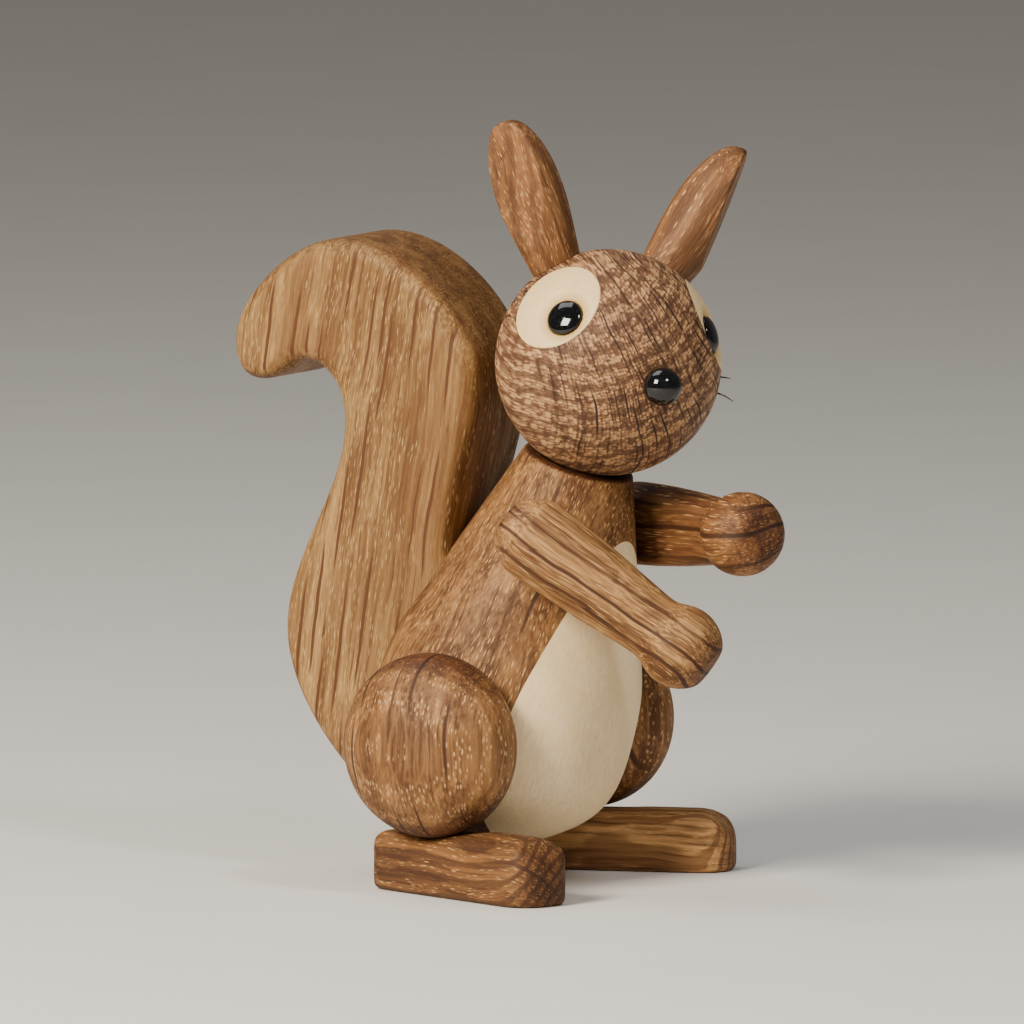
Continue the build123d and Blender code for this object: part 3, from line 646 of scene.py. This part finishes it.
def tapered_bristles(name, sizes, finish):
    """Bristles on bent lines, thinner towards their tips, from one node tree with the sizes as its inputs"""
    tree = bpy.data.node_groups.new("tapered bristles", "GeometryNodeTree")
    tree.interface.new_socket("Bristles", in_out="OUTPUT", socket_type="NodeSocketGeometry")
    sockets = {}
    for size_name, size in sizes.items():
        kind = "NodeSocketVector" if isinstance(size, Vector) else "NodeSocketFloat"
        socket = tree.interface.new_socket(size_name, in_out="INPUT", socket_type=kind)
        sockets[size_name] = socket.identifier
    given = add(tree, "NodeGroupInput").outputs
    share = add(tree, "GeometryNodeSplineParameter").outputs["Factor"]
    radius = add(
        tree, "ShaderNodeMapRange",
        {"Value": share, "To Min": given["Root radius"], "To Max": given["Tip radius"]},
    ).outputs[0]
    section = add(
        tree, "GeometryNodeCurvePrimitiveCircle", {"Resolution": BRISTLE_SIDES, "Radius": 1.0}
    ).outputs[0]
    bristles = add(tree, "GeometryNodeJoinGeometry")
    for number in range(len(BRISTLES)):
        line = add(
            tree, "GeometryNodeCurveQuadraticBezier",
            {"Resolution": BRISTLE_STEPS, "Start": given[f"Root {number}"],
             "Middle": given[f"Bend {number}"], "End": given[f"Tip {number}"]},
        ).outputs[0]
        bristle = add(
            tree, "GeometryNodeCurveToMesh",
            {"Curve": line, "Profile Curve": section, "Scale": radius, "Fill Caps": True},
        ).outputs[0]
        tree.links.new(bristle, bristles.inputs[0])
    plain = add(tree, "GeometryNodeRealizeInstances", {"Geometry": bristles.outputs[0]}).outputs[0]
    painted = add(tree, "GeometryNodeSetMaterial", {"Geometry": plain, "Material": finish}).outputs[0]
    add(tree, "NodeGroupOutput", {"Bristles": painted})

    piece = new_object(name, bpy.data.meshes.new("bristle lines"))
    grow = piece.modifiers.new("bristles", "NODES")
    grow.node_group = tree
    for size_name, socket in sockets.items():
        grow[socket] = sizes[size_name]
    make_plain(piece)
    return piece


def put_on(piece, node, body, material):
    """Shows a piece in place of a CAD node"""
    piece.data.materials.clear()
    piece.data.materials.append(material)
    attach(piece, body)
    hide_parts(node)


# Lines of the arms at rest, from the pins they swing on
arm_line = {}
arm_pin = {}
for joint in frame["joints"]:
    for side_name, side in SIDES.items():
        if joint["child"] == f"{side_name}_arm":
            pin = Vector(joint["axis"])
            arm_pin[side_name] = pin
            level = (pin.cross(UP) * side).normalized()
            drop = level.cross(pin) * -side
            angle = radians(ARM_DROOP[side_name])
            arm_line[side_name] = level * cos(angle) + drop * sin(angle)

# Finishes of the CAD nodes: pins and dowels are beech
head_heart = head_up * HEAD_HEART_UP + head_left * HEAD_HEART_LEFT
finishes = {
    "torso": oak("oak torso", middle("torso"), body_axis, LEFT, OILED),
    "tail": oak("oak tail", middle("tail"), TAIL_FIBRE, LEFT, GOLDEN),
    "head": oak("oak head", middle("head"), head_front, head_heart, SMOKED),
    "belly": maple("maple belly", body_axis, BELLY_TONES),
    "nose_bead": black_gloss("black glass nose"),
    "left_whiskers": black_gloss("dark bristle"),
}
splay = radians(FOOT_SPLAY)
for side_name, side in SIDES.items():
    toe_line = Vector((side * sin(splay), -cos(splay), 0))
    ear_line = on_head(side * EAR_AZIMUTH, EAR_ELEVATION)
    for piece, fibre, heart, look in (
        ("thigh", UP, LEFT * -side, THIGH_OAK),
        ("foot", toe_line, FOOT_HEART[side_name], FOOT_OAK_LIT_AND_SHADED[side_name]),
        ("arm", arm_line[side_name], arm_pin[side_name], ARM_OAK_LIT_AND_SHADED[side_name]),
        ("ear", ear_line, head_front, RUSSET),
    ):
        name = f"{side_name}_{piece}"
        finishes[name] = oak(f"oak {name}", middle(name), fibre, heart, look)
    finishes[f"{side_name}_eye_disc"] = finishes["belly"]
    finishes[f"{side_name}_eye_bead"] = finishes["nose_bead"]
beech = maple("beech dowel", UP, DOWEL_TONES)
for name, node in frame["nodes"].items():
    node.data.materials.clear()
    node.data.materials.append(finishes.get(name, beech))

# Arms and feet lose the crisp edges of the saw
for side_name in SIDES:
    arm = sanded(f"{side_name}_arm", f"{side_name}_arm_sanded", ARM_VOXEL, ARM_SANDING)
    put_on(arm, f"{side_name}_arm", f"{side_name}_arm", finishes[f"{side_name}_arm"])
    foot = sanded(f"{side_name}_foot", f"{side_name}_foot_sanded", FOOT_VOXEL, FOOT_SANDING)
    put_on(foot, f"{side_name}_foot", "figure", finishes[f"{side_name}_foot"])

# Eye discs are dished a little round their beads, which are low domes
for side_name, side in SIDES.items():
    outward = on_head(side * BEAD_AZIMUTH, BEAD_ELEVATION)
    seat = (HEAD_CENTRE + outward * HEAD_RADIUS) * MM
    disc = sanded(f"{side_name}_eye_disc", f"{side_name}_eye_disc_dished", DISC_VOXEL, DISC_SANDING)
    dish(disc, seat, outward)
    # The disc's finish has painted shade, a brown tint round the bead where the dish is shaded
    disc_with_painted_shade = maple(f"maple {side_name} eye disc", outward, DISC_TONES, seat)
    put_on(disc, f"{side_name}_eye_disc", "head", disc_with_painted_shade)
    domed = domed_bead(f"{side_name}_eye_bead_domed", seat, outward)
    put_on(domed, f"{side_name}_eye_bead", "head", finishes["nose_bead"])

# Bristles taper and sag a little
whiskers = tapered_bristles("left_whiskers_tapered", bristle_lines(), finishes["left_whiskers"])
put_on(whiskers, "left_whiskers", "head", finishes["left_whiskers"])

# Floor and the room's light
bpy.ops.mesh.primitive_plane_add(size=FLOOR_SIZE * MM)
floor = bpy.context.object
floor.name = "floor"
floor.data.materials.append(floor_paint("pale studio floor"))
world = bpy.data.worlds.new("soft studio")
world.use_nodes = True
room = world.node_tree.nodes["Background"].inputs
room["Color"].default_value = colour(ROOM_TINT)
room["Strength"].default_value = ROOM_LIGHT
bpy.context.scene.world = world

# Soft boxes and camera
azimuth = radians(VIEW_AZIMUTH)
rise = radians(VIEW_ELEVATION)
view_back = Vector((sin(azimuth) * cos(rise), -cos(azimuth) * cos(rise), sin(rise)))
view_right = Vector((cos(azimuth), sin(azimuth), 0))
aim = view_back.cross(view_right) * VIEW_CENTRE
for name, (back, right, up, size, power, tint) in SOFT_BOXES.items():
    lamp = bpy.data.lights.new(name, "AREA")
    lamp.size = size * MM
    lamp.energy = power
    lamp.color = colour(tint)[:3]
    box = new_object(name, lamp)
    offset = view_back * back + view_right * right + UP * up
    box.location = (aim + offset) * MM
    box.rotation_euler = (-offset).to_track_quat("-Z", "Y").to_euler()

lens = bpy.data.cameras.new("photo lens")
lens.sensor_width = SENSOR
lens.lens = SENSOR * VIEW_DISTANCE / VIEW_WIDTH
lens.clip_end = VIEW_FAR * MM
camera = new_object("photo camera", lens)
camera.location = (aim + view_back * VIEW_DISTANCE) * MM
camera.rotation_euler = view_back.to_track_quat("Z", "Y").to_euler()
bpy.context.scene.camera = camera
